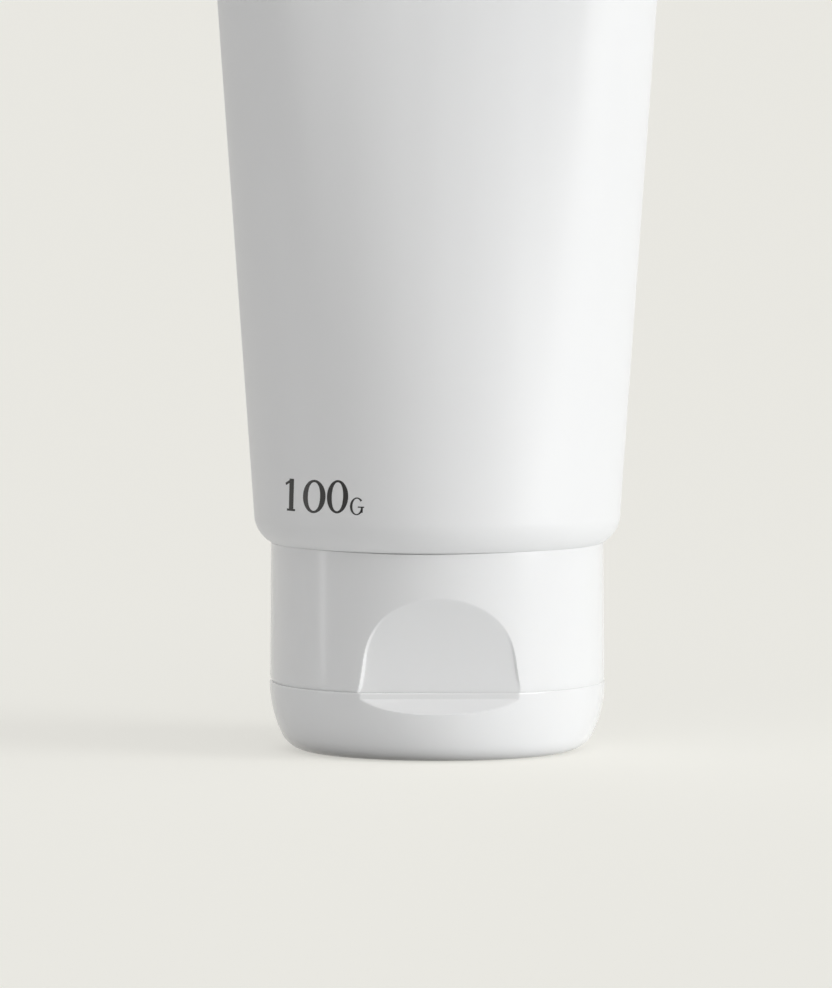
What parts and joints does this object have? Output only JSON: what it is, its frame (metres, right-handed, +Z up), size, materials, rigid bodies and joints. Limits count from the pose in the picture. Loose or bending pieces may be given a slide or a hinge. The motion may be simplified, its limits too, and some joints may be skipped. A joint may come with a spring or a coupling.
{
  "type": "facial cleanser tube",
  "caption": "Filled white squeeze tube with a flat crimped end, standing on a round screw cap whose hinged flip-top lid has a thumb recess.",
  "frame": {"origin": "centre of the lid's flat base, on which the tube stands", "axes": "+Z up along the tube's axis towards its crimped seal, +X along the seal, -Y towards the thumb recess"},
  "size_m": [0.0592, 0.038, 0.18],
  "materials": {
    "sleeve_film": "satin white polyethylene film",
    "head_plastic": "moulded natural-white polyethylene",
    "cap_plastic": "semi-gloss white moulded polypropylene"
  },
  "bodies": {
    "cap": {"cap_body": "cap_plastic", "living_hinge": "cap_plastic"},
    "lid": {"flip_lid": "cap_plastic"},
    "tube": {"tube_sleeve": "sleeve_film", "tube_head": "head_plastic"}
  },
  "joints": [
    {"name": "lid_hinge", "type": "hinge", "parent": "cap", "child": "lid", "pos_m": [0, 0.01745, 0.00715], "axis": [1, 0, 0], "range_deg": [0, 175], "deforming": ["living_hinge"]},
    {"name": "cap_release", "type": "slide", "parent": "cap", "child": "tube", "axis": [0, 0, 1], "range_m": [0, 0.016]}
  ]
}
